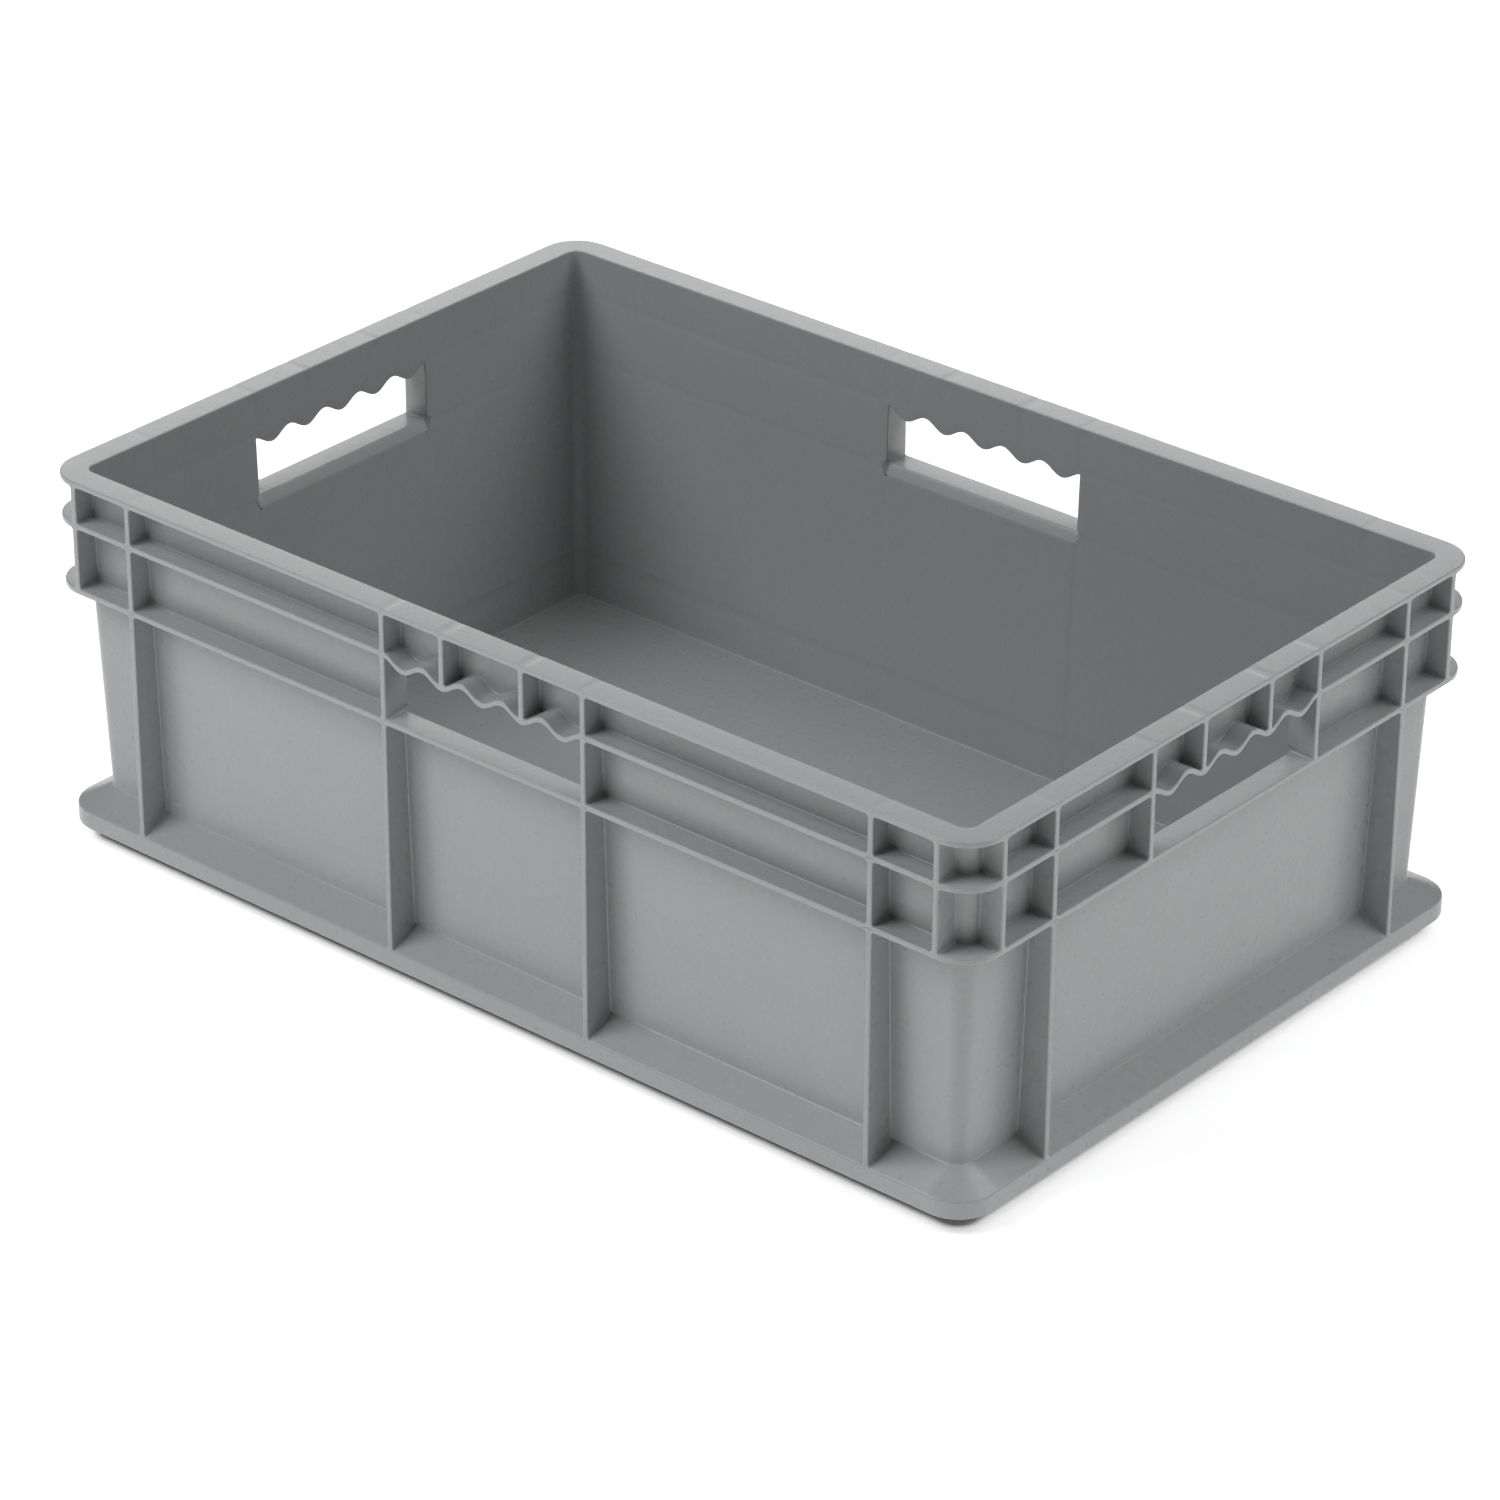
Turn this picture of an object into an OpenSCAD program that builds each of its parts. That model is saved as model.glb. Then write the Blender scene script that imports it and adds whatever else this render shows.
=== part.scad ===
// Stacking plastic crate: an open tote moulded in one piece, with a flat rim, two
// stiffening bands, upright ribs, a hand hole with a wavy finger grip in every side, and
// a flared base flange round a recessed stacking foot.
// Its moulded members are drawn one by one. They meet face to face and don't overlap.
// Millimetres. The origin is the centre of the footprint, on the surface that the crate
// stands on. +X runs along the long sides, +Y towards the rear and +Z up.

/* [Overall] */
// Length over the rim, along X
crate_l = 603; // [560:1:640]
// Width over the rim, along Y
crate_w = 400; // [370:1:430]
// Height from the foot to the top of the rim
crate_h = 209.5; // [195:0.5:240]
// Corner radius of the outline, which the rim, bands and base flange share
corner_r = 21; // [20.5:0.5:22]

/* [Walls] */
// Thickness of the walls, measured level
wall_t = 3.6; // [3:0.1:4.5]
// Lean of the walls, outwards as they rise, in degrees
draft = 1.65; // [1.2:0.05:1.9]
// Radius inside the upright corners
post_r = 6; // [5:0.5:7]
// Thickness of the floor
floor_t = 3; // [2.5:0.5:5]

/* [Rim and bands] */
// Width of the rim, from the outline in to the mouth
rim_w = 15; // [14:0.5:15.5]
// Thickness of the rim
rim_t = 3; // [2.5:0.5:4]
// Thickness of the two bands and of the finger grip
band_t = 3.2; // [2.5:0.1:4]
// Height of the middle band's underside
middle_band_z = 183.1; // [180:0.1:184]
// Height of the lower band's underside
lower_band_z = 146.1; // [140:0.1:150]

/* [Ribs] */
// Thickness of every rib
rib_t = 3.3; // [2.5:0.1:4]
// Long sides: from the end of the side to the outer full-height rib
long_panel_rib = 60; // [55:0.5:70]
// Long sides: from the end of the side to the short rib by the corner
long_corner_rib = 21.5; // [21:0.5:24]
// Short sides: from the end of the side to the full-height rib
short_panel_rib = 61.5; // [55:0.5:70]
// Short sides: from the end of the side to the short rib by the corner
short_corner_rib = 23.5; // [21:0.5:24]
// From the middle of a side to the ribs beside its hand hole
handle_rib = 65.4; // [64:0.1:68]

/* [Finger grip] */
// Distance from one finger lobe to the next
lobe_pitch = 26; // [25:0.5:27]
// Depth of a lobe below the crests beside it
lobe_depth = 5.4; // [3:0.2:6]

/* [Base] */
// Height of the base flange's lower edge above the foot
foot_h = 9.2; // [6:0.2:12]
// Height of the base flange's upright lip
lip_h = 9.75; // [8:0.25:12]
// Height at which the base flange's slope meets the wall
flange_top = 28.3; // [26:0.1:34]
// Thickness of the base flange, which is open underneath
flange_t = 3; // [2.5:0.25:4]

/* [Hidden] */

grey = "#989a9d";
arc_fn = 96;
$fn = arc_fn;
// Depth of a cutter that only has to reach past what it trims
reach = 40;

wall_top = crate_h - rim_t;
sill_z = lower_band_z + band_t;
lip_top = foot_h + lip_h;
// Thickness of a wall square to its own face, and the corner posts' outer radius
wall_skin = wall_t * cos(draft);
post_outer_r = post_r + wall_skin;
// Lean of a corner post's axis, along the diagonal
post_tilt = atan(sqrt(2) * tan(draft));
handle_edge = handle_rib - rib_t / 2;
wave_steps = 60;

// Depth of a wall's inner and outer face from the outline, at height z
function wall_in(z) = rim_w + (wall_top - z) * tan(draft);
function wall_out(z) = wall_in(z) - wall_t;
// Depth of a corner post's axis from both outlines, at height z
function post_axis(z) = wall_in(z) + post_r / cos(draft);
// Height of the base flange's slope at a depth from the outline
flange_rise = (flange_top - lip_top) / wall_out(flange_top);
function slope_z(depth) = lip_top + depth * flange_rise;
slope_t = flange_t / cos(atan(flange_rise));
flange_end = post_axis(flange_top);
// Height of the finger grip's underside at a distance s from the middle of the side
function grip_z(s) = middle_band_z - lobe_depth * (1 + cos(360 * s / lobe_pitch)) / 2;

// A side is [turn about Z, length of the side, distance across to the opposite side]
FRONT = [0, crate_l, crate_w];
RIGHT = [90, crate_w, crate_l];
REAR = [180, crate_l, crate_w];
LEFT = [270, crate_w, crate_l];
// Where the ribs stand along a side, from its middle: [full height, down to the lower band]
LONG_RIBS = [
    [crate_l / 2 - long_panel_rib, handle_rib],
    [crate_l / 2 - long_corner_rib]
];
SHORT_RIBS = [
    [crate_w / 2 - short_panel_rib],
    [crate_w / 2 - short_corner_rib, handle_rib]
];
// A corner is [side of X, side of Y]
FRONT_LEFT = [-1, -1];
FRONT_RIGHT = [1, -1];
REAR_LEFT = [-1, 1];
REAR_RIGHT = [1, 1];

// A side's own frame: x along the side from its middle, y in from the outline, z up
module on_side(side) {
    color(grey)
    rotate([0, 0, side[0]])
    translate([0, -side[2] / 2, 0])
    children();
}

// A corner's own frame: x and y in from the two outlines, z up
module at_corner(corner) {
    color(grey)
    mirror([corner[0] < 0 ? 1 : 0, 0, 0])
    mirror([0, corner[1] < 0 ? 1 : 0, 0])
    translate([crate_l / 2, crate_w / 2, 0])
    rotate([0, 0, 180])
    children();
}

// Draws its children on both sides of a side's middle
module both_ways() {
    children();
    mirror([1, 0, 0]) children();
}

// A bar along a side, from x0 to x1, with a profile of [depth, height] points
module bar(x0, x1, profile) {
    translate([x0, 0, 0])
    rotate([90, 0, 90])
    linear_extrude(x1 - x0)
    polygon(profile);
}

// A prism through a side's whole depth, drawn as the side is seen from the front
module elevation() {
    translate([0, reach, 0])
    rotate([90, 0, 0])
    linear_extrude(2 * reach)
    children();
}

// Profile of what fills the depth between the outline and the wall, from z0 to z1
function web(z0, z1) = [[0, z0], [wall_out(z0), z0], [wall_out(z1), z1], [0, z1]];

// Part of a side's wall, from z0 to z1, ending on the corner posts
module wall_panel(side, z0, z1) {
    half = side[1] / 2;
    intersection() {
        bar(-half, half, [
            [wall_out(z0), z0], [wall_in(z0), z0], [wall_in(z1), z1], [wall_out(z1), z1]
        ]);
        elevation()
        polygon([
            [post_axis(z0) - half, z0], [half - post_axis(z0), z0],
            [half - post_axis(z1), z1], [post_axis(z1) - half, z1]
        ]);
    }
}

// Outline of the finger grip's wave, from its underside up to a height above that
module wave(rise) {
    s = [for (i = [0 : wave_steps]) handle_edge * (2 * i / wave_steps - 1)];
    polygon(concat(
        [for (x = s) [x, grip_z(x)]],
        [for (i = [wave_steps : -1 : 0]) [s[i], grip_z(s[i]) + rise]]
    ));
}

// The hand hole as seen from the front: a level sill under the wave
module hand_hole() {
    s = [for (i = [0 : wave_steps]) handle_edge * (1 - 2 * i / wave_steps)];
    polygon(concat(
        [[-handle_edge, sill_z], [handle_edge, sill_z]],
        [for (x = s) [x, grip_z(x)]]
    ));
}

module lower_panel(side) on_side(side) wall_panel(side, floor_t, sill_z);

module upper_panel(side) {
    on_side(side)
    difference() {
        wall_panel(side, sill_z, wall_top);
        elevation() hand_hole();
    }
}

module rim(side) {
    half = side[1] / 2 - corner_r;
    on_side(side)
    bar(-half, half, [[0, wall_top], [rim_w, wall_top], [rim_w, crate_h], [0, crate_h]]);
}

// A band is cut by the ribs. Each length runs from one rib's face to the next.
module band_lengths(ribs, z) {
    panel_rib = max(ribs[0]);
    both_ways() {
        bar(handle_rib + rib_t / 2, panel_rib - rib_t / 2, web(z, z + band_t));
        bar(panel_rib + rib_t / 2, max(ribs[1]) - rib_t / 2, web(z, z + band_t));
    }
}

module middle_band(side, ribs) on_side(side) band_lengths(ribs, middle_band_z);

// The lower band also runs under the hand hole, as its sill
module lower_band(side, ribs) {
    on_side(side) {
        band_lengths(ribs, lower_band_z);
        bar(-handle_edge, handle_edge, web(lower_band_z, sill_z));
    }
}

module ribs(side, ribs) {
    full = [
        [0, lip_top], [wall_out(flange_top), flange_top],
        [wall_out(wall_top), wall_top], [0, wall_top]
    ];
    on_side(side)
    both_ways() {
        for (x = ribs[0]) bar(x - rib_t / 2, x + rib_t / 2, full);
        for (x = ribs[1]) bar(x - rib_t / 2, x + rib_t / 2, web(lower_band_z, wall_top));
    }
}

module grip(side) {
    low = middle_band_z - lobe_depth;
    high = middle_band_z + band_t;
    on_side(side)
    intersection() {
        elevation() wave(band_t);
        bar(-handle_edge, handle_edge, web(low, high));
    }
}

// Two short ribs that tie the finger grip to the rim. Each starts inside the grip's
// thickness and is cut to the wave.
module grip_ribs(side) {
    low = grip_z(lobe_pitch) + band_t / 2;
    on_side(side)
    both_ways()
    difference() {
        bar(lobe_pitch - rib_t / 2, lobe_pitch + rib_t / 2, web(low, wall_top));
        elevation() wave(band_t);
    }
}

// Profile of the base flange: a lip and a slope, as deep as given along the slope's top
function flange_profile(depth) =
    let (under = slope_z(depth) - slope_t)
    [
        [0, foot_h], [0, lip_top], [depth, slope_z(depth)],
        [depth == corner_r ? depth : wall_out(under), under],
        [flange_t, slope_z(flange_t) - slope_t], [flange_t, foot_h]
    ];

module base_flange(side) {
    half = side[1] / 2 - flange_end;
    on_side(side)
    bar(-half, half, flange_profile(wall_out(flange_top)));
}

// A corner post's leaning frame: z along its axis, from the top of the wall
module post_frame() {
    translate([post_axis(wall_top), post_axis(wall_top), wall_top])
    rotate(a = post_tilt, v = [1, -1, 0])
    children();
}

// Everything inside the outer face of a corner post
module post_core() {
    post_frame()
    translate([0, 0, -crate_h])
    cylinder(r = post_outer_r, h = crate_h + reach);
}

module post(corner) {
    at_corner(corner)
    intersection() {
        translate([0, 0, floor_t]) cube([2 * reach, 2 * reach, wall_top - floor_t]);
        post_frame()
        rotate_extrude(start = 180, angle = 90)
        translate([post_r, -crate_h])
        square([wall_skin, crate_h + reach]);
    }
}

// A corner's block of the outline, from an inset to a size, with its upright edge rounded
module rounded_block(inset, size, r, z0, z1) {
    across = size - inset;
    translate([inset, inset, z0])
    intersection() {
        cube([across, across, z1 - z0]);
        union() {
            translate([r, r, 0]) cylinder(r = r, h = z1 - z0);
            translate([r, 0, 0]) cube([reach, reach, z1 - z0]);
            translate([0, r, 0]) cube([reach, reach, z1 - z0]);
        }
    }
}

module rim_corner(corner) {
    at_corner(corner)
    translate([corner_r, corner_r, wall_top])
    rotate_extrude(start = 180, angle = 90)
    translate([corner_r - rim_w, 0])
    square([rim_w, rim_t]);
}

// A band's end: the plate that turns the corner between two corner ribs
module corner_plate(corner, z) {
    at_corner(corner)
    difference() {
        intersection() {
            rounded_block(0, reach, corner_r, z, z + band_t);
            translate([0, 0, z])
            cube([long_corner_rib - rib_t / 2, short_corner_rib - rib_t / 2, band_t]);
        }
        post_core();
    }
}

// The base flange turns the corner as a cone, and its slope runs on inwards to the post
module flange_corner(corner) {
    at_corner(corner)
    difference() {
        union() {
            translate([corner_r, corner_r, 0])
            rotate_extrude(start = 180, angle = 90)
            polygon([for (p = flange_profile(corner_r)) [corner_r - p[0], p[1]]]);
            bar(corner_r, flange_end, flange_profile(corner_r));
            mirror([1, -1, 0]) bar(corner_r, flange_end, flange_profile(corner_r));
        }
        post_core();
    }
}

// The floor is also the stacking foot: it drops inside the rim of the crate below
module floor_panel() {
    x = crate_l / 2 - wall_out(floor_t);
    y = crate_w / 2 - wall_out(floor_t);
    r = post_outer_r;
    color(grey) {
        translate([-x, r - y, 0]) cube([2 * x, 2 * (y - r), floor_t]);
        translate([r - x, -y, 0]) cube([2 * (x - r), 2 * y, floor_t]);
        for (sx = [-1, 1], sy = [-1, 1])
            translate([sx * (x - r), sy * (y - r), 0]) cylinder(r = r, h = floor_t);
    }
}

floor_panel();
lower_panel(FRONT);  // front_lower_panel
lower_panel(REAR);  // rear_lower_panel
lower_panel(LEFT);  // left_lower_panel
lower_panel(RIGHT);  // right_lower_panel
upper_panel(FRONT);  // front_upper_panel
upper_panel(REAR);  // rear_upper_panel
upper_panel(LEFT);  // left_upper_panel
upper_panel(RIGHT);  // right_upper_panel
rim(FRONT);  // front_rim
rim(REAR);  // rear_rim
rim(LEFT);  // left_rim
rim(RIGHT);  // right_rim
middle_band(FRONT, LONG_RIBS);  // front_middle_band
middle_band(REAR, LONG_RIBS);  // rear_middle_band
middle_band(LEFT, SHORT_RIBS);  // left_middle_band
middle_band(RIGHT, SHORT_RIBS);  // right_middle_band
lower_band(FRONT, LONG_RIBS);  // front_lower_band
lower_band(REAR, LONG_RIBS);  // rear_lower_band
lower_band(LEFT, SHORT_RIBS);  // left_lower_band
lower_band(RIGHT, SHORT_RIBS);  // right_lower_band
ribs(FRONT, LONG_RIBS);  // front_ribs
ribs(REAR, LONG_RIBS);  // rear_ribs
ribs(LEFT, SHORT_RIBS);  // left_ribs
ribs(RIGHT, SHORT_RIBS);  // right_ribs
grip(FRONT);  // front_grip
grip(REAR);  // rear_grip
grip(LEFT);  // left_grip
grip(RIGHT);  // right_grip
grip_ribs(FRONT);  // front_grip_ribs
grip_ribs(REAR);  // rear_grip_ribs
grip_ribs(LEFT);  // left_grip_ribs
grip_ribs(RIGHT);  // right_grip_ribs
base_flange(FRONT);  // front_base_flange
base_flange(REAR);  // rear_base_flange
base_flange(LEFT);  // left_base_flange
base_flange(RIGHT);  // right_base_flange
post(FRONT_LEFT);  // front_left_post
post(FRONT_RIGHT);  // front_right_post
post(REAR_LEFT);  // rear_left_post
post(REAR_RIGHT);  // rear_right_post
rim_corner(FRONT_LEFT);  // front_left_rim_corner
rim_corner(FRONT_RIGHT);  // front_right_rim_corner
rim_corner(REAR_LEFT);  // rear_left_rim_corner
rim_corner(REAR_RIGHT);  // rear_right_rim_corner
corner_plate(FRONT_LEFT, middle_band_z);  // front_left_middle_plate
corner_plate(FRONT_RIGHT, middle_band_z);  // front_right_middle_plate
corner_plate(REAR_LEFT, middle_band_z);  // rear_left_middle_plate
corner_plate(REAR_RIGHT, middle_band_z);  // rear_right_middle_plate
corner_plate(FRONT_LEFT, lower_band_z);  // front_left_lower_plate
corner_plate(FRONT_RIGHT, lower_band_z);  // front_right_lower_plate
corner_plate(REAR_LEFT, lower_band_z);  // rear_left_lower_plate
corner_plate(REAR_RIGHT, lower_band_z);  // rear_right_lower_plate
flange_corner(FRONT_LEFT);  // front_left_flange_corner
flange_corner(FRONT_RIGHT);  // front_right_flange_corner
flange_corner(REAR_LEFT);  // rear_left_flange_corner
flange_corner(REAR_RIGHT);  // rear_right_flange_corner
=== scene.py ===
"""Looks of a stacking plastic crate, built round its packed CAD frame.

The crate is one injection moulding, so its skin is modelled once, as a quarter that is
mirrored twice, and then parted into pieces that meet flush. All lengths are in metres, in
the frame of the CAD model.
"""

import math

import bmesh
import bpy
from bpy.props import (
    FloatProperty,
    FloatVectorProperty,
    IntProperty,
    PointerProperty,
    StringProperty,
)
from mathutils import Matrix, Vector


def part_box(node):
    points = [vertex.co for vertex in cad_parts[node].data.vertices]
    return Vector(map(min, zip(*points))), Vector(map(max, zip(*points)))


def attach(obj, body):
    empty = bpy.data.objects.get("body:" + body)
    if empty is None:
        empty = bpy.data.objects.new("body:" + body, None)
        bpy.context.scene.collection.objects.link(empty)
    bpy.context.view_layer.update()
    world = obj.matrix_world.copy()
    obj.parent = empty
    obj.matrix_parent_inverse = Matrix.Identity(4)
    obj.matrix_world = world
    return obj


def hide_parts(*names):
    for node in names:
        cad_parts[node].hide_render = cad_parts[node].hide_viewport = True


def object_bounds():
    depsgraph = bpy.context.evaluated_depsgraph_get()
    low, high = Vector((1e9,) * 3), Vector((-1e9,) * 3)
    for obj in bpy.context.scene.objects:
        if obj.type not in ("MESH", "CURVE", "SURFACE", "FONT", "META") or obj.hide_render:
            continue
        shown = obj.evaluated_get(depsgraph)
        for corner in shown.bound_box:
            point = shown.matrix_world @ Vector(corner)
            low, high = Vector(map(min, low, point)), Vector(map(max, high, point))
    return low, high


bl_info = {
    "name": "Stacking crate",
    "version": (1, 0, 0),
    "blender": (4, 5, 0),
    "location": "3D View > Sidebar > Crate",
    "description": "Models a moulded stacking crate piece by piece, with its finish and a studio stage",
    "category": "Object",
}

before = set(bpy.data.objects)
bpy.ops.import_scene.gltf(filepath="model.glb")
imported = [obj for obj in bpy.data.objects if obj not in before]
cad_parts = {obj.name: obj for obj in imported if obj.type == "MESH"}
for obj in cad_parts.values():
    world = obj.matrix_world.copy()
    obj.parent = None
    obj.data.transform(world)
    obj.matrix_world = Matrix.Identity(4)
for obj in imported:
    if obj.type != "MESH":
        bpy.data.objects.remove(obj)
CAD_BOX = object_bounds()

MM = 0.001
# Half the parting line's width, as a share of a corner's turn
PARTING = 0.02
# Vertices this close are one, and a cut through a vertex this close goes through it
MERGE = 1e-6
TOUCH = 1e-7
# How far an edge turns if it is square, and from where on it is rounded
SQUARE = math.radians(60)
BEND = math.radians(35)
SIDES = ("front", "rear", "left", "right")
CORNERS = ("front_left", "front_right", "rear_left", "rear_right")
SIDE_MEMBERS = (
    "lower_panel",
    "upper_panel",
    "middle_band",
    "lower_band",
    "ribs",
    "grip",
    "grip_ribs",
)
CORNER_MEMBERS = ("post", "middle_plate", "lower_plate")
# The light panels: where each stands, and its width and height
PANELS = {
    "left_panel": ((-0.8, -1.35, 1.85), (1.3, 1.3)),
    "right_panel": ((1.55, 0.85, 1.75), (1.6, 1.6)),
    "top_panel": ((0.7, 0.6, 2.2), (1.6, 1.6)),
    "back_panel": ((-1.3, 1.52, 0.95), (2.0, 0.5)),
}
SKIN = "crate_skin"

# The CAD members whose places the skin follows
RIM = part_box("front_rim")
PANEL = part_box("front_lower_panel")
TOP_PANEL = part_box("front_upper_panel")
MIDDLE_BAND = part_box("front_middle_band")
SHORT_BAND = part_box("right_middle_band")
LOWER_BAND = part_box("front_lower_band")
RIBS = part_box("front_ribs")
SHORT_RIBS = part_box("right_ribs")
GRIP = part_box("front_grip")
GRIP_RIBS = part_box("front_grip_ribs")
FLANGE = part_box("front_base_flange")
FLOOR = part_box("floor_panel")


def length_of(name, text, default):
    return FloatProperty(
        name=name, description=text, default=default, min=0.0, precision=5, unit="LENGTH"
    )


def power_of(name, place, default):
    return FloatProperty(
        name=name, description=f"Power of the panel {place} in W", default=default, min=0
    )


class CrateSizes(bpy.types.PropertyGroup):
    """Sizes of the crate that its CAD boxes don't give"""

    corner_radius: length_of("Corner radius", "Radius of the outline's corners", 21 * MM)
    post_radius: length_of("Post radius", "Radius inside the upright corners", 6 * MM)
    long_rib: length_of(
        "Long side rib", "From the middle of a long side to its outer full-height rib", 241.5 * MM
    )
    short_rib: length_of(
        "Short side rib", "From the middle of a short side to its full-height rib", 138.5 * MM
    )
    lip_height: length_of("Lip height", "Height of the base flange's upright lip", 9.75 * MM)
    flange_wall: length_of("Flange wall", "Thickness of the base flange", 3 * MM)
    edge_rounding: length_of("Edge rounding", "Rounding of the moulded edges", 0.7 * MM)
    cell_fillet: length_of("Cell fillet", "Rounding in the corners between ribs and bands", 1.7 * MM)
    sill_chamfer: length_of(
        "Sill chamfer", "Depth of the chamfer inside each hand hole's sill", 2.6 * MM
    )
    sill_face: length_of("Sill face", "Height of the same chamfer on the wall", 5.2 * MM)
    sink_depth: length_of(
        "Sink depth", "How far the wall sinks in behind a rib or band", 0.3 * MM
    )
    sink_fade: length_of("Sink fade", "How far a sink mark runs out past its rib", 2.4 * MM)
    parting_line: length_of(
        "Parting line", "Height of the mould's parting line on the corners", 0.015 * MM
    )
    wave_step: length_of("Wave step", "Spacing of the grip's stations along a side", 1.1 * MM)
    arc_steps: IntProperty(
        name="Arc steps", description="Stations round a corner", default=12, min=4
    )


class CrateFinish(bpy.types.PropertyGroup):
    """Colour and surface of the moulded plastic"""

    colour: StringProperty(
        name="Colour", description="sRGB colour of the plastic", default="#9A9B9C"
    )
    streak: StringProperty(
        name="Flow colour", description="sRGB colour of its faint flow marks", default="#959697"
    )
    roughness: FloatProperty(
        name="Roughness", description="Roughness of the satin skin", default=0.28, min=0, max=1
    )
    ripple: length_of("Ripple", "Size of the skin's slow ripple", 14 * MM)


class CrateStage(bpy.types.PropertyGroup):
    """Camera, lights and floor"""

    camera_place: FloatVectorProperty(
        name="Camera", description="Where the camera stands", default=(1.7106, -2.0040, 1.4901),
        subtype="TRANSLATION", unit="LENGTH",
    )
    camera_turn: FloatProperty(
        name="Turn", description="Camera's turn round the crate", subtype="ANGLE",
        default=math.radians(40.502),
    )
    camera_drop: FloatProperty(
        name="Look down", description="Camera's look down", subtype="ANGLE",
        default=math.radians(28.254),
    )
    camera_roll: FloatProperty(
        name="Roll", description="Camera's roll", subtype="ANGLE", default=math.radians(0.279)
    )
    lens: FloatProperty(name="Lens", description="Focal length in mm", default=140.85, min=1)
    floor_colour: StringProperty(
        name="Floor", description="sRGB colour of the floor", default="#F7F7F7"
    )
    # Painted light: the floor's own glow, which lifts the shadows round the crate and lights it from
    # below
    painted_floor_glow: FloatProperty(
        name="Floor glow", description="Light that comes up through the floor", default=0.48, min=0
    )
    sky: FloatProperty(name="Sky", description="Strength of the even light", default=0.08, min=0)
    left_panel: power_of("Left panel", "by the long side", 36.0)
    right_panel: power_of("Right panel", "by the short side", 24.5)
    top_panel: power_of("Top panel", "overhead", 7.0)
    back_panel: power_of("Back panel", "low behind the crate", 8.0)


# ---------------------------------------------------------------- contours


class Contours:
    """The crate's contours: level rounded rectangles at a depth in from its outline"""

    def __init__(self, sizes):
        self.sizes = sizes
        self.half_l = CAD_BOX[1][0]
        self.half_w = CAD_BOX[1][1]
        self.height = RIM[1].z
        self.wall_top = RIM[0].z
        self.floor_top = FLOOR[1].z
        self.rim_w = RIM[1].y - RIM[0].y
        self.sill = LOWER_BAND[1].z
        self.lower_band = LOWER_BAND[0].z
        self.middle_band = MIDDLE_BAND[0].z
        self.band_t = MIDDLE_BAND[1].z - MIDDLE_BAND[0].z
        self.foot = FLANGE[0].z
        self.lip_top = self.foot + sizes.lip_height
        self.flange_top = FLANGE[1].z
        # The lower end of the flange's joint with the wall
        self.flange_join = self.flange_top - 4 * MM
        self.rib_t = RIBS[1].x - MIDDLE_BAND[1].x
        self.hole = GRIP[1].x
        self.grip_rib = GRIP_RIBS[1].x - self.rib_t / 2
        self.lobe = self.middle_band - GRIP[0].z
        wall_t = self.rim_w - (self.half_w + TOP_PANEL[0].y)
        drop = self.wall_top - self.floor_top
        self.wall_t = wall_t
        self.lean = (self.half_w + PANEL[1].y - self.rim_w) / drop
        self.outer_r = sizes.post_radius + wall_t * math.cos(math.atan(self.lean))
        # The last stations on the straight sides: the corner ribs' outer faces
        self.last_long = RIBS[1].x
        self.last_short = SHORT_RIBS[1].y
        # Past these, contours with no ribs on them spread their stations to the arc's start
        self.spread_long = sizes.long_rib + self.rib_t / 2
        self.spread_short = sizes.short_rib + self.rib_t / 2

    def wall_in(self, z):
        return self.rim_w + (self.wall_top - z) * self.lean

    def wall_out(self, z):
        return self.wall_in(z) - self.wall_t

    def grip_z(self, along):
        """Underside of the finger grip's wave, level with the middle band outside it"""
        if along > self.hole + MM:
            return self.middle_band
        wave = (1 + math.cos(2 * math.pi * along / self.grip_rib)) / 2
        return self.middle_band - self.lobe * wave

    def place(self, station, depth, radius, z, spread=False):
        """Where a station crosses the contour at a depth, with that corner radius"""
        kind, value = station
        centre_x = self.half_l - depth - radius
        centre_y = self.half_w - depth - radius
        ends = (
            (self.last_long, self.spread_long, centre_x),
            (self.last_short, self.spread_short, centre_y),
        )
        if kind == "arc":
            first = 0.0
            last = math.pi / 2
            if not spread:
                first = math.asin(max(self.last_long - centre_x, 0.0) / radius)
                last -= math.asin(max(self.last_short - centre_y, 0.0) / radius)
            turn = first + (last - first) * value
            return Vector(
                (centre_x + radius * math.sin(turn), -centre_y - radius * math.cos(turn), z)
            )
        end, start, centre = ends[0] if kind == "long" else ends[1]
        if spread and value > start:
            value = start + (value - start) * (centre - start) / (end - start)
        run = max(value - centre, 0.0)
        rise = math.sqrt(radius * radius - run * run)
        if kind == "long":
            return Vector((value, -centre_y - rise, z))
        return Vector((centre_x + rise, -value, z))

    def outline(self, station, z):
        return self.place(station, 0.0, self.sizes.corner_radius, z)

    def outer_wall(self, station, z):
        return self.place(station, self.wall_out(z), self.outer_r, z)

    def inner_wall(self, station, z):
        depth = self.wall_in(z) - self.sizes.sink_depth * self.sink(station, z)
        return self.place(station, depth, self.sizes.post_radius, z, spread=True)

    def wave(self, station):
        """Underside of the middle band or of the finger grip at a station"""
        return self.middle_band if station[0] == "arc" else self.grip_z(station[1])

    def rib_places(self, kind, z):
        """The ribs behind a place on the inner wall, by their middles along the side"""
        handle_rib = self.hole + self.rib_t / 2
        if kind == "long":
            ribs = [handle_rib, self.sizes.long_rib]
        elif z > self.sill:
            ribs = [handle_rib, self.sizes.short_rib]
        else:
            ribs = [self.sizes.short_rib]
        return ribs + ([self.grip_rib] if z > self.middle_band + self.band_t else [])

    def fading(self, past):
        """From 1 at a rib or band down to 0 where its sink mark has run out"""
        return min(max(1 - past / self.sizes.sink_fade, 0.0), 1.0)

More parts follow.
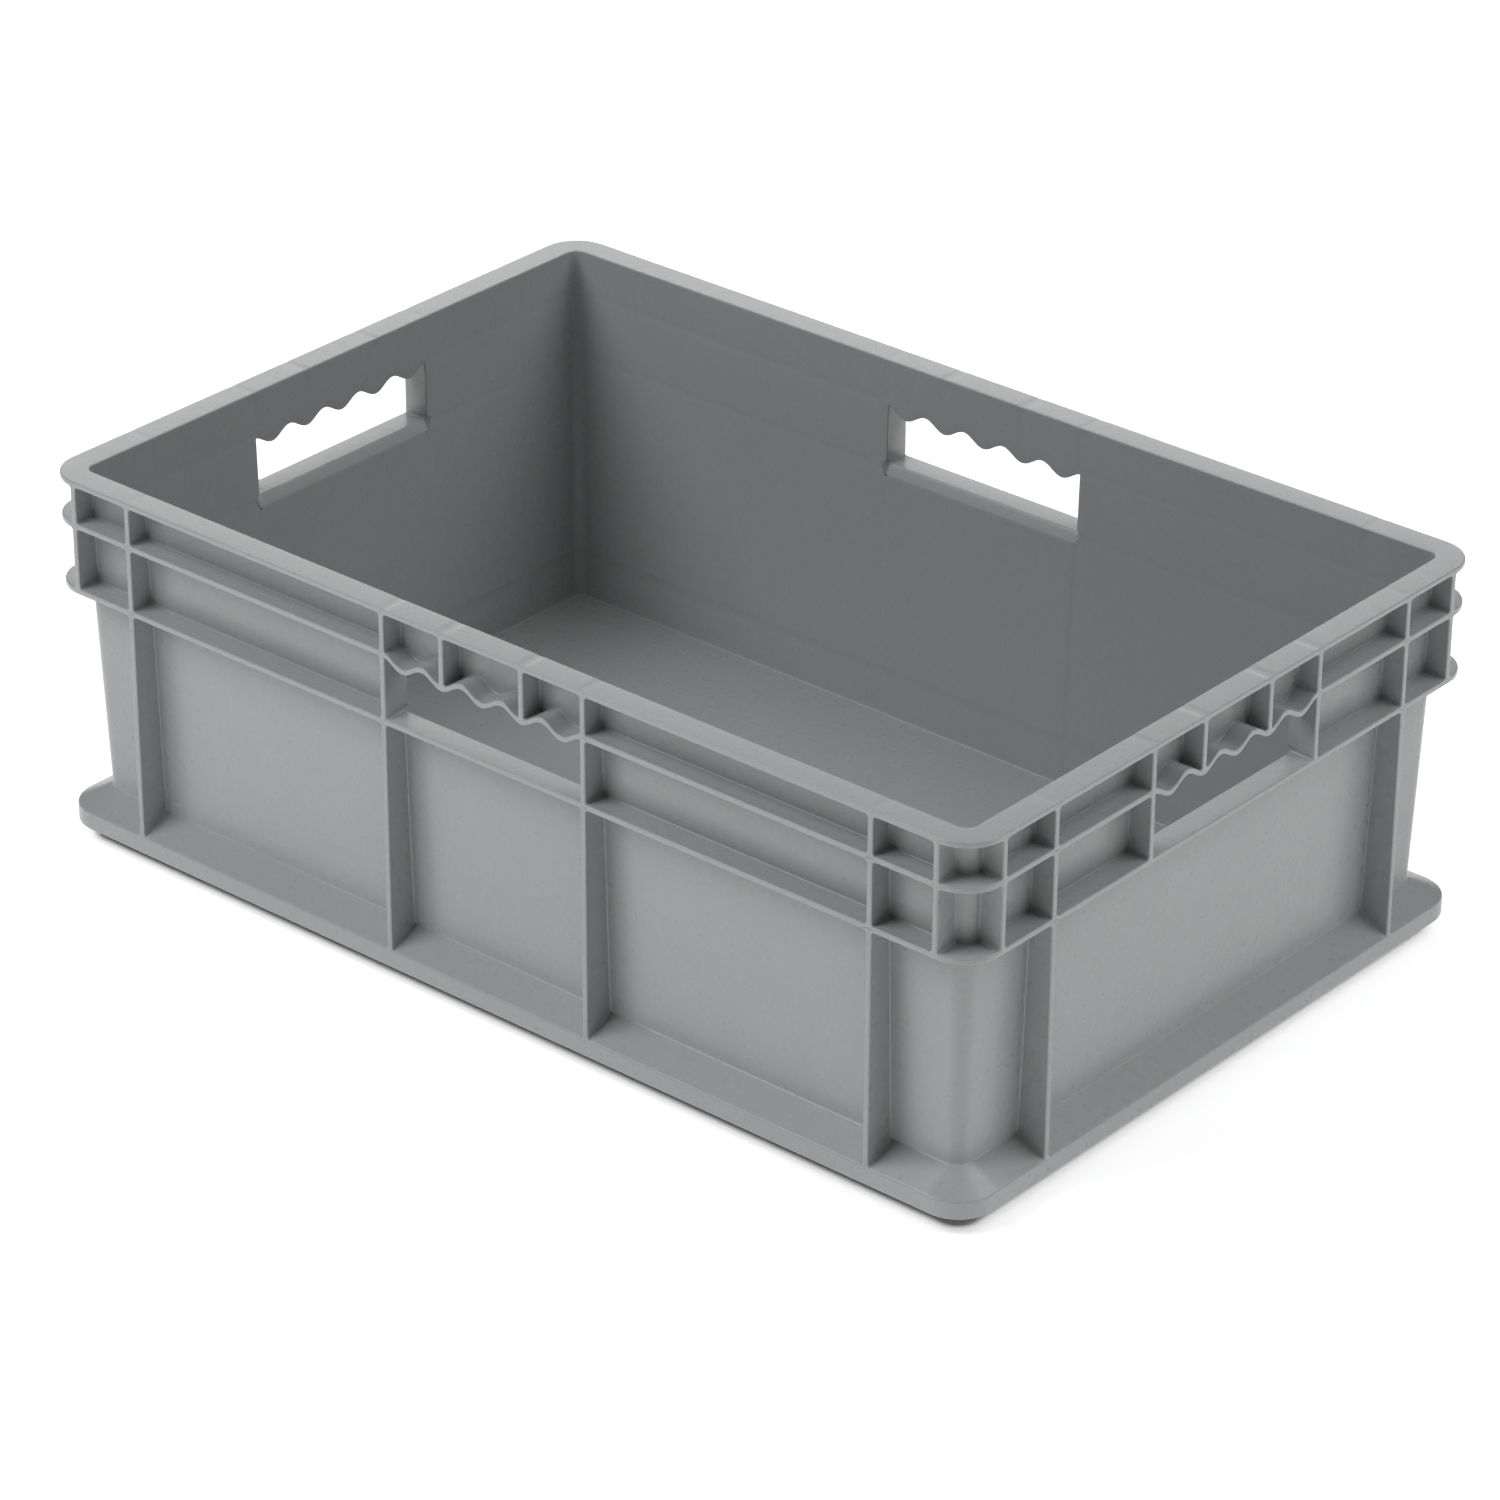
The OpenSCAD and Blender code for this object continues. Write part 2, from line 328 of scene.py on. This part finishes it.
    def sink(self, station, z):
        """From 0 to 1, how much of a sink mark there is over the ribs and bands"""
        wave = self.wave(station)
        past = [
            max(low - z, z - high)
            for low, high in (
                (self.lower_band, self.sill),
                (wave, wave + self.band_t),
                (self.flange_join, self.flange_top),
            )
        ]
        kind, value = station
        if kind != "arc":
            past += [abs(value - x) - self.rib_t / 2 for x in self.rib_places(kind, z)]
        return self.fading(min(past))

    def rim_top(self, station):
        """Height of the rim, which dips a little over each rib"""
        kind, value = station
        if kind == "arc":
            return self.height
        past = min(abs(value - x) - self.rib_t / 2 for x in self.rib_places(kind, self.height))
        return self.height - self.sizes.sink_depth * self.fading(past) / 2

    def section(self, station):
        """The skin's section at a station, from the foot, over the rim and down to the floor"""
        flange_wall = self.sizes.flange_wall
        fade = self.sizes.sink_fade
        inner_r = self.sizes.corner_radius - flange_wall
        slope = (self.flange_top - self.lip_top) / self.wall_out(self.flange_top)
        slope_t = flange_wall * math.sqrt(1 + slope * slope)
        under = self.flange_top - slope_t
        under_lip = self.lip_top + flange_wall * slope - slope_t
        foot_depth = self.wall_out(self.floor_top)
        wave = self.wave(station)
        top = self.rim_top(station)
        in_hole = station[0] != "arc" and station[1] <= self.hole
        under_sill = self.sill - self.sizes.sill_face - MM if in_hole else self.lower_band
        rows = [self.lip_top + (self.lower_band - self.lip_top) * i / 4 for i in range(4)]
        rows += [self.lower_band, self.sill, self.sill + fade, wave - fade]
        rows += [wave, wave + self.band_t, self.wall_top, top]
        inner_rows = [self.wall_top, wave + self.band_t + fade, wave + self.band_t, wave]
        inner_rows += [wave - fade, self.sill + fade, self.sill]
        inner_rows += [under_sill, under_sill - fade]
        inner_rows += [self.flange_top + fade, self.flange_top]
        inner_rows += [self.flange_join, self.flange_join - fade, self.floor_top]
        return (
            [
                self.place(station, foot_depth, self.outer_r, 0.0, spread=True),
                self.place(station, self.wall_out(under), self.outer_r, under, spread=True),
                self.place(station, flange_wall, inner_r, under_lip),
                self.place(station, flange_wall, inner_r, self.foot),
                self.outline(station, self.foot),
            ]
            + [self.outline(station, z) for z in rows]
            + [self.place(station, self.rim_w, self.sizes.post_radius, top, spread=True)]
            + [self.inner_wall(station, z) for z in inner_rows]
        )


# Rows of the section, counted from the foot
ROW_LIP_TOP = 5
ROW_LOWER_BAND = 9
ROW_SILL = 10
ROW_WAVE = 13
ROW_GRIP_TOP = 14
ROW_WALL_TOP = 15
ROW_INNER_WAVE = 21
ROW_INNER_SILL = 24


def spaced(start, end, step):
    """Evenly spaced places from start up to, and without, end"""
    count = max(1, round((end - start) / step))
    return [start + (end - start) * i / count for i in range(count)]


def stations(shape):
    """Stations round a quarter, from the middle of a long side to that of a short one"""
    step = shape.sizes.wave_step
    post_step = 1.4 * MM
    half = shape.rib_t / 2
    grip_rib = shape.grip_rib

    def side(panel_rib, corner_rib_in, corner_rib_out, post_start):
        near = spaced(0, grip_rib - half, step)
        near += spaced(grip_rib - half, grip_rib + half, step)
        near += spaced(grip_rib + half, shape.hole, step)
        past_hole = shape.hole + shape.rib_t
        fade = shape.sizes.sink_fade
        near += [shape.hole, past_hole, past_hole + fade]
        near += [panel_rib - half - fade, panel_rib - half, panel_rib + half, panel_rib + half + fade]
        near += spaced(post_start, corner_rib_in, post_step)
        return near + spaced(corner_rib_in, corner_rib_out, step) + [corner_rib_out]

    sizes = shape.sizes
    deepest = shape.wall_in(0.0) + sizes.post_radius
    long_side = side(
        sizes.long_rib, MIDDLE_BAND[1].x, shape.last_long, shape.half_l - deepest - MM
    )
    short_side = side(
        sizes.short_rib, SHORT_BAND[1].y, shape.last_short, shape.half_w - deepest - MM
    )
    count = sizes.arc_steps
    arc = [("arc", i / count) for i in range(1, count)]
    # The parting line's feet, close on both sides of the middle of the corner
    arc += [("arc", 0.5 - PARTING), ("arc", 0.5 + PARTING)]
    arc.sort()
    return [("long", x) for x in long_side] + arc + [("short", y) for y in reversed(short_side)]


# ---------------------------------------------------------------- skin


def sweep(shape, places):
    """A quarter of the skin, its section extruded from station to station"""
    bm = bmesh.new()
    row_of = bm.verts.layers.int.new("row")
    station_of = bm.verts.layers.int.new("station")
    face_row = bm.faces.layers.int.new("row")
    face_station = bm.faces.layers.int.new("station")
    verts = []
    for row, co in enumerate(shape.section(places[0])):
        vert = bm.verts.new(co)
        vert[row_of] = row
        verts.append(vert)
    edges = [bm.edges.new(pair) for pair in zip(verts, verts[1:])]
    for index, station in enumerate(places[1:], 1):
        new = bmesh.ops.extrude_edge_only(bm, edges=edges)["geom"]
        section = shape.section(station)
        for vert in (v for v in new if isinstance(v, bmesh.types.BMVert)):
            vert.co = section[vert[row_of]]
            vert[station_of] = index
        edges = [e for e in new if isinstance(e, bmesh.types.BMEdge)]
        for face in (f for f in new if isinstance(f, bmesh.types.BMFace)):
            face[face_row] = min(v[row_of] for v in face.verts)
            face[face_station] = index - 1
    return bm


def patch(bm, places, rows, start, end):
    """The faces between two rows and two stations"""
    face_row = bm.faces.layers.int["row"]
    face_station = bm.faces.layers.int["station"]

    def index(wanted):
        kind, value = wanted
        return next(
            i for i, (k, v) in enumerate(places) if k == kind and abs(v - value) < 0.01 * MM
        )

    first, last = index(start), index(end)
    return [
        f for f in bm.faces
        if rows[0] <= f[face_row] < rows[1] and first <= f[face_station] < last
    ]


def push(bm, faces, where):
    """Extrudes a patch of faces inwards, to where a function puts each of its vertices"""
    new = bmesh.ops.extrude_face_region(bm, geom=faces)["geom"]
    for vert in (v for v in new if isinstance(v, bmesh.types.BMVert)):
        vert.co = where(vert)
    left = [f for f in faces if f.is_valid]
    bmesh.ops.delete(bm, geom=left, context="FACES")
    return [f for f in new if isinstance(f, bmesh.types.BMFace)]


def cells(shape):
    """Each cell between the ribs and bands: its rows, and the stations that it runs between"""
    half = shape.rib_t / 2
    grip_in, grip_out = shape.grip_rib - half, shape.grip_rib + half
    hole, past_hole = shape.hole, shape.hole + shape.rib_t
    long_in, long_out = shape.sizes.long_rib - half, shape.sizes.long_rib + half
    short_in, short_out = shape.sizes.short_rib - half, shape.sizes.short_rib + half
    top = (ROW_GRIP_TOP, ROW_WALL_TOP)
    middle = (ROW_SILL, ROW_WAVE)
    low = (ROW_LIP_TOP, ROW_LOWER_BAND)
    corner = (("long", shape.last_long), ("short", shape.last_short))
    found = [
        (low, ("long", 0), ("long", hole)),
        (low, ("long", past_hole), ("long", long_in)),
        (low, ("long", long_out), ("short", short_out)),
        (low, ("short", short_in), ("short", 0)),
        (top,) + corner,
        (middle,) + corner,
    ]
    for kind, rib_in, rib_out, corner_rib in (
        ("long", long_in, long_out, MIDDLE_BAND[1].x),
        ("short", short_in, short_out, SHORT_BAND[1].y),
    ):
        runs = [(past_hole, rib_in), (rib_out, corner_rib)]
        for rows in (top, middle):
            found += [(rows, (kind, a), (kind, b)) for a, b in runs]
        found += [(top, (kind, a), (kind, b)) for a, b in ((0, grip_in), (grip_out, hole))]
    return [(rows, *ordered(a, b)) for rows, a, b in found]


def ordered(a, b):
    """Two stations in the order in which the quarter meets them"""
    turned = a[0] == b[0] == "short" and a[1] < b[1]
    return (b, a) if turned else (a, b)


def build_skin(shape):
    """The whole moulding as one closed skin with rounded edges"""
    places = stations(shape)
    bm = sweep(shape, places)
    station_of = bm.verts.layers.int["station"]
    row_of = bm.verts.layers.int["row"]
    on_wall = bm.verts.layers.int.new("on_wall")

    def to_wall(vert):
        vert[on_wall] = 1
        z = shape.flange_top if vert[row_of] == ROW_LIP_TOP else vert.co.z
        station = places[vert[station_of]]
        co = shape.outer_wall(station, z)
        if station == ("arc", 0.5) and vert[row_of] < ROW_SILL:
            co += shape.sizes.parting_line * Vector((1, -1, 0)).normalized()
        return co

    def to_inside(vert):
        # The vertices meet those of the inner wall, so they take the same rows
        vert[row_of] = ROW_INNER_SILL + ROW_SILL - vert[row_of]
        return shape.inner_wall(places[vert[station_of]], vert.co.z)

    for rows, start, end in cells(shape):
        push(bm, patch(bm, places, rows, start, end), to_wall)

    # The hand holes go right through, to the same stations on the inner wall
    inner_rows = (ROW_INNER_WAVE, ROW_INNER_SILL)
    for start, end in (
        (("long", 0), ("long", shape.hole)),
        (("short", shape.hole), ("short", 0)),
    ):
        inner = patch(bm, places, inner_rows, start, end)
        bmesh.ops.delete(bm, geom=inner, context="FACES")
        outer = patch(bm, places, (ROW_SILL, ROW_WAVE), start, end)
        pushed = push(bm, outer, to_inside)
        bmesh.ops.delete(bm, geom=pushed, context="FACES")
    on_planes = [
        f for f in bm.faces
        if all(abs(v.co.x) < MERGE for v in f.verts) or all(abs(v.co.y) < MERGE for v in f.verts)
    ]
    bmesh.ops.delete(bm, geom=on_planes, context="FACES")
    bmesh.ops.remove_doubles(bm, verts=bm.verts[:], dist=MERGE)

    for axis in "XY":
        geom = bm.verts[:] + bm.edges[:] + bm.faces[:]
        bmesh.ops.mirror(bm, geom=geom, matrix=Matrix(), merge_dist=MERGE, axis=axis)
    bmesh.ops.remove_doubles(bm, verts=bm.verts[:], dist=MERGE)
    for level in (0.0, shape.floor_top):
        ring = [
            e for e in bm.edges
            if e.is_boundary and all(abs(v.co.z - level) < MERGE for v in e.verts)
        ]
        bmesh.ops.edgeloop_fill(bm, edges=ring)
    bmesh.ops.recalc_face_normals(bm, faces=bm.faces[:])

    # The sills' inner edges and the cells' corners first, and then all the other edges
    sills = [
        e for e in bm.edges
        if all(v[row_of] == ROW_INNER_SILL for v in e.verts)
        and e.calc_face_angle_signed() > SQUARE
    ]
    chamfer = shape.sizes.sill_chamfer
    for vert in round_edges(bm, sills, chamfer, 1)["verts"]:
        if vert.co.z < shape.sill - chamfer / 2:
            vert.co.z -= shape.sizes.sill_face - chamfer
    corners = [
        e for e in bm.edges
        if e.is_manifold and e.verts[0][on_wall] != e.verts[1][on_wall]
        and e.calc_face_angle_signed() < -SQUARE
    ]
    round_edges(bm, corners, shape.sizes.cell_fillet, 4)
    sharp = [
        e for e in bm.edges if e.is_manifold and abs(e.calc_face_angle_signed()) > BEND
    ]
    round_edges(bm, sharp, shape.sizes.edge_rounding, 2)
    # The rounding's mitres can stand out past the outline by a few hundredths of a mm
    for vert in bm.verts:
        vert.co.x = min(max(vert.co.x, -shape.half_l), shape.half_l)
        vert.co.y = min(max(vert.co.y, -shape.half_w), shape.half_w)
    bmesh.ops.recalc_face_normals(bm, faces=bm.faces[:])
    for face in bm.faces:
        face.smooth = True
    return bm


def round_edges(bm, edges, size, segments):
    return bmesh.ops.bevel(
        bm, geom=edges, offset=size, offset_type="OFFSET", segments=segments, profile=0.5,
        affect="EDGES", clamp_overlap=False, material=-1, loop_slide=True,
    )


def trim(bm, place, towards):
    """Cuts off what lies past a plane and closes the cut with flat faces"""
    geom = bm.verts[:] + bm.edges[:] + bm.faces[:]
    cut = bmesh.ops.bisect_plane(
        bm, geom=geom, dist=TOUCH, plane_co=place, plane_no=towards, clear_outer=True
    )["geom_cut"]
    edges = [e for e in cut if isinstance(e, bmesh.types.BMEdge)]
    bmesh.ops.triangle_fill(bm, edges=edges, use_beauty=True)
    for edge in edges:
        if edge.is_valid:
            edge.smooth = False


def partings():
    """Where the skin is parted: above the foot, above the flange, under the rim, by the corners"""
    sizes = bpy.context.scene.crate_sizes
    return {
        "floor": (FLOOR[1].z + FLANGE[0].z) / 2,
        "flange": FLANGE[1].z + 4 * MM,
        "rim": RIM[0].z - 2 * MM,
        "long": (sizes.long_rib + MIDDLE_BAND[1].x) / 2,
        "short": (sizes.short_rib + SHORT_BAND[1].y) / 2,
    }


def part(name, nodes, planes):
    """A piece of the skin, cut to the planes, that stands for some of the CAD members"""
    bm = bmesh.new()
    bm.from_mesh(bpy.data.meshes[SKIN])
    for place, towards in planes:
        trim(bm, Vector(place), Vector(towards))
    bmesh.ops.recalc_face_normals(bm, faces=bm.faces[:])
    if bm.calc_volume(signed=True) < 0:
        bmesh.ops.reverse_faces(bm, faces=bm.faces[:])
    loose = [e for e in bm.edges if not e.is_manifold]
    if loose:
        raise RuntimeError(f"{name} isn't closed: {len(loose)} open edges")
    mesh = bpy.data.meshes.new(name)
    bm.to_mesh(mesh)
    bm.free()
    piece = bpy.data.objects.new(name, mesh)
    bpy.context.scene.collection.objects.link(piece)
    mesh.materials.append(moulded_polypropylene())
    normals = piece.modifiers.new("Even shading", "WEIGHTED_NORMAL")
    normals.keep_sharp = True
    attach(piece, "root")
    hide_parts(*nodes)


# ---------------------------------------------------------------- finishes


def linear(hex_colour):
    """An sRGB hex colour as linear RGBA"""
    channels = [int(hex_colour[i : i + 2], 16) / 255 for i in (1, 3, 5)]
    return tuple(
        c / 12.92 if c <= 0.04045 else ((c + 0.055) / 1.055) ** 2.4 for c in channels
    ) + (1.0,)


def add_node(tree, kind, settings=None, inputs=None):
    """Adds a node, sets what it is given and links the inputs that are other nodes' outputs"""
    made = tree.nodes.new(kind)
    for name, value in (settings or {}).items():
        setattr(made, name, value)
    for name, value in (inputs or {}).items():
        if isinstance(value, bpy.types.NodeSocket):
            tree.links.new(value, made.inputs[name])
        else:
            made.inputs[name].default_value = value
    return made


def new_material(name):
    material = bpy.data.materials.new(name)
    material.use_nodes = True
    material.node_tree.nodes.clear()
    return material, material.node_tree


def moulded_polypropylene():
    """Grey polypropylene, injection moulded in a satin-finished steel mould.

    It gives an even satin skin with a soft sheen that ripples a little, and faint flow
    marks where the melt ran up the walls.
    """
    name = "Moulded polypropylene"
    if name in bpy.data.materials:
        return bpy.data.materials[name]
    finish = bpy.context.scene.crate_finish
    material, tree = new_material(name)
    coords = add_node(tree, "ShaderNodeTexCoord").outputs["Object"]
    # Flow marks, 60 mm across and drawn out three times as long up the walls
    drawn_out = add_node(
        tree, "ShaderNodeMapping", {}, {"Vector": coords, "Scale": (1.0, 1.0, 0.35)}
    )
    flow = add_node(
        tree, "ShaderNodeTexNoise", {},
        {"Vector": drawn_out.outputs["Vector"], "Scale": 1 / (60 * MM), "Detail": 3.0},
    )
    colour = add_node(
        tree, "ShaderNodeMix", {"data_type": "RGBA"},
        {0: flow.outputs["Fac"], 6: linear(finish.colour), 7: linear(finish.streak)},
    )
    # Scuffs and handling marks, a few millimetres across
    scuffs = add_node(
        tree, "ShaderNodeTexNoise", {},
        {"Vector": coords, "Scale": 1 / (7 * MM), "Detail": 1.0},
    )
    roughness = add_node(
        tree, "ShaderNodeMapRange", {},
        {
            "Value": scuffs.outputs["Fac"],
            "From Min": 0.3,
            "From Max": 0.7,
            "To Min": finish.roughness - 0.012,
            "To Max": finish.roughness + 0.012,
        },
    )
    # Thin walls cool unevenly, which leaves a ripple of about 0.05 mm in their sheen
    ripple = add_node(
        tree, "ShaderNodeTexNoise", {},
        {"Vector": coords, "Scale": 1 / finish.ripple, "Detail": 1.0},
    )
    bump = add_node(
        tree, "ShaderNodeBump", {},
        {"Strength": 0.5, "Distance": 0.1 * MM, "Height": ripple.outputs["Fac"]},
    )
    shader = add_node(
        tree, "ShaderNodeBsdfPrincipled", {},
        {
            "Base Color": colour.outputs[2],
            "Roughness": roughness.outputs["Result"],
            "IOR": 1.49,
            "Normal": bump.outputs["Normal"],
        },
    )
    add_node(tree, "ShaderNodeOutputMaterial", {}, {"Surface": shader.outputs["BSDF"]})
    return material


def floor_with_painted_glow():
    """Matt opal acrylic of a shooting table, which gives off a painted glow of its own.

    It gives a plain pale ground with no sheen, where the painted glow washes out the crate's shadow and
    lights the crate from below.
    """
    stage = bpy.context.scene.crate_stage
    material, tree = new_material("Matt opal acrylic")
    # So wide a floor's painted glow is even enough without being sampled as a lamp
    material.cycles.emission_sampling = "NONE"
    # The painted glow comes up round the crate and not under it
    coords = add_node(tree, "ShaderNodeTexCoord").outputs["Object"]
    radius = bpy.context.scene.crate_sizes.corner_radius
    away = add_node(tree, "ShaderNodeVectorMath", {"operation": "ABSOLUTE"}, {0: coords})
    middles = (CAD_BOX[1][0] - radius, CAD_BOX[1][1] - radius, 0.0)
    past = add_node(
        tree, "ShaderNodeVectorMath", {"operation": "SUBTRACT"}, {0: away.outputs[0], 1: middles}
    )
    past = add_node(
        tree, "ShaderNodeVectorMath", {"operation": "MAXIMUM"},
        {0: past.outputs[0], 1: (0.0, 0.0, 0.0)},
    )
    reach = add_node(tree, "ShaderNodeVectorMath", {"operation": "LENGTH"}, {0: past.outputs[0]})
    # The painted glow fades in under the edge of the base flange. Where it is missing it leaves a
    # narrow painted shadow line, on top of the crate's real shadow.
    dark, lit = radius - 10.5 * MM, radius - 7 * MM
    glow = add_node(
        tree, "ShaderNodeMapRange", {},
        {
            "Value": reach.outputs["Value"],
            "From Min": dark,
            "From Max": lit,
            "To Min": 0.0,
            "To Max": stage.painted_floor_glow,
        },
    )
    shader = add_node(
        tree, "ShaderNodeBsdfPrincipled", {},
        {
            "Base Color": linear(stage.floor_colour),
            "Roughness": 0.9,
            "Specular IOR Level": 0.1,
            "Emission Color": (1.0, 1.0, 1.0, 1.0),
            "Emission Strength": glow.outputs["Result"],
        },
    )
    add_node(tree, "ShaderNodeOutputMaterial", {}, {"Surface": shader.outputs["BSDF"]})
    return material


# ---------------------------------------------------------------- operators


class CRATE_OT_skin(bpy.types.Operator):
    """Models the whole moulding as one skin, which the other operators part"""

    bl_idname = "crate.skin"
    bl_label = "Moulded skin"

    def execute(self, context):
        bm = build_skin(Contours(context.scene.crate_sizes))
        bm.to_mesh(bpy.data.meshes.new(SKIN))
        bm.free()
        return {"FINISHED"}


class CRATE_OT_rim(bpy.types.Operator):
    """Adds the flat rim round the mouth"""

    bl_idname = "crate.rim"
    bl_label = "Rim"

    def execute(self, context):
        nodes = [f"{s}_rim" for s in SIDES] + [f"{c}_rim_corner" for c in CORNERS]
        part("rim", nodes, [((0, 0, partings()["rim"]), (0, 0, -1))])
        return {"FINISHED"}


class CRATE_OT_walls(bpy.types.Operator):
    """Adds the four sides, with their ribs, bands and hand holes"""

    bl_idname = "crate.walls"
    bl_label = "Walls"

    def execute(self, context):
        at = partings()
        level = [((0, 0, at["rim"]), (0, 0, 1)), ((0, 0, at["flange"]), (0, 0, -1))]
        for side, axis, sign in (("front", 1, -1), ("rear", 1, 1), ("left", 0, -1), ("right", 0, 1)):
            inwards = [0, 0, 0]
            inwards[axis] = -sign
            planes = [((0, 0, 0), inwards)]
            reach = at["long"] if axis == 1 else at["short"]
            for end in (-1, 1):
                place, towards = [0, 0, 0], [0, 0, 0]
                place[1 - axis] = end * reach
                towards[1 - axis] = end
                planes.append((place, towards))
            part(f"{side}_wall", [f"{side}_{m}" for m in SIDE_MEMBERS], level + planes)
        return {"FINISHED"}


class CRATE_OT_corners(bpy.types.Operator):
    """Adds the four upright corners"""

    bl_idname = "crate.corners"
    bl_label = "Corners"

    def execute(self, context):
        at = partings()
        level = [((0, 0, at["rim"]), (0, 0, 1)), ((0, 0, at["flange"]), (0, 0, -1))]
        for corner in CORNERS:
            x = -1 if "left" in corner else 1
            y = -1 if "front" in corner else 1
            planes = [((x * at["long"], 0, 0), (-x, 0, 0)), ((0, y * at["short"], 0), (0, -y, 0))]
            part(f"{corner}_corner", [f"{corner}_{m}" for m in CORNER_MEMBERS], level + planes)
        return {"FINISHED"}


class CRATE_OT_base(bpy.types.Operator):
    """Adds the flared base flange and the floor with its stacking foot"""

    bl_idname = "crate.base"
    bl_label = "Base"

    def execute(self, context):
        at = partings()
        nodes = [f"{s}_base_flange" for s in SIDES] + [f"{c}_flange_corner" for c in CORNERS]
        planes = [((0, 0, at["flange"]), (0, 0, 1)), ((0, 0, at["floor"]), (0, 0, -1))]
        part("base_flange", nodes, planes)
        part("floor", ["floor_panel"], [((0, 0, at["floor"]), (0, 0, 1))])
        return {"FINISHED"}


class CRATE_OT_stage(bpy.types.Operator):
    """Adds the studio floor, the lights and the camera"""

    bl_idname = "crate.stage"
    bl_label = "Stage"

    def execute(self, context):
        stage = context.scene.crate_stage
        add_floor()
        add_sky(stage)
        for name, (place, size) in PANELS.items():
            add_panel_light(name, place, size, getattr(stage, name))
        add_camera(stage)
        context.scene.view_settings.view_transform = "Standard"
        return {"FINISHED"}


def add_floor():
    bm = bmesh.new()
    bmesh.ops.create_grid(bm, x_segments=4, y_segments=4, size=8.0)
    mesh = bpy.data.meshes.new("studio_floor")
    bm.to_mesh(mesh)
    bm.free()
    # The floor's material paints a glow round the crate and a shadow line under its flange
    mesh.materials.append(floor_with_painted_glow())
    floor = bpy.data.objects.new("studio_floor", mesh)
    bpy.context.scene.collection.objects.link(floor)


def add_sky(stage):
    world = bpy.data.worlds.new("Studio")
    world.use_nodes = True
    tree = world.node_tree
    tree.nodes.clear()
    sky = add_node(
        tree, "ShaderNodeBackground", {}, {"Color": (1.0, 1.0, 1.0, 1.0), "Strength": stage.sky}
    )
    add_node(tree, "ShaderNodeOutputWorld", {}, {"Surface": sky.outputs["Background"]})
    bpy.context.scene.world = world


def add_panel_light(name, place, size, power):
    """A light panel, of a width and a height, that faces the crate"""
    light = bpy.data.lights.new(name, "AREA")
    light.shape = "RECTANGLE"
    light.size, light.size_y = size
    light.energy = power
    lamp = bpy.data.objects.new(name, light)
    facing = Vector((0, 0, 0.1)) - Vector(place)
    lamp.matrix_world = Matrix.Translation(place) @ facing.to_track_quat("-Z", "Y").to_matrix().to_4x4()
    bpy.context.scene.collection.objects.link(lamp)


def add_camera(stage):
    data = bpy.data.cameras.new("camera")
    data.lens = stage.lens
    data.sensor_width = 36.0
    data.clip_end = 50.0
    camera = bpy.data.objects.new("camera", data)
    turn = Matrix.Rotation(stage.camera_turn, 4, "Z")
    tilt = Matrix.Rotation(math.pi / 2 - stage.camera_drop, 4, "X")
    roll = Matrix.Rotation(stage.camera_roll, 4, "Z")
    camera.matrix_world = Matrix.Translation(stage.camera_place) @ turn @ tilt @ roll
    bpy.context.scene.collection.objects.link(camera)
    bpy.context.scene.camera = camera


OPERATORS = (
    CRATE_OT_skin,
    CRATE_OT_rim,
    CRATE_OT_walls,
    CRATE_OT_corners,
    CRATE_OT_base,
    CRATE_OT_stage,
)
GROUPS = {"crate_sizes": CrateSizes, "crate_finish": CrateFinish, "crate_stage": CrateStage}


class CRATE_PT_panel(bpy.types.Panel):
    """Lists the crate's sizes and its pieces"""

    bl_idname = "CRATE_PT_panel"
    bl_label = "Stacking crate"
    bl_space_type = "VIEW_3D"
    bl_region_type = "UI"
    bl_category = "Crate"

    def draw(self, context):
        for group, kind in GROUPS.items():
            box = self.layout.box()
            box.label(text=kind.__doc__)
            for name in kind.__annotations__:
                box.prop(getattr(context.scene, group), name)
        for operator in OPERATORS:
            self.layout.operator(operator.bl_idname)


def register():
    for group, kind in GROUPS.items():
        bpy.utils.register_class(kind)
        setattr(bpy.types.Scene, group, PointerProperty(type=kind))
    for kind in OPERATORS + (CRATE_PT_panel,):
        bpy.utils.register_class(kind)


def unregister():
    for kind in reversed(OPERATORS + (CRATE_PT_panel,)):
        bpy.utils.unregister_class(kind)
    for group, kind in reversed(GROUPS.items()):
        delattr(bpy.types.Scene, group)
        bpy.utils.unregister_class(kind)


def main():
    register()
    bpy.ops.crate.skin()
    bpy.ops.crate.rim()
    bpy.ops.crate.walls()
    bpy.ops.crate.corners()
    bpy.ops.crate.base()
    bpy.ops.crate.stage()
    bpy.data.meshes.remove(bpy.data.meshes[SKIN])


if __name__ == "__main__":
    main()
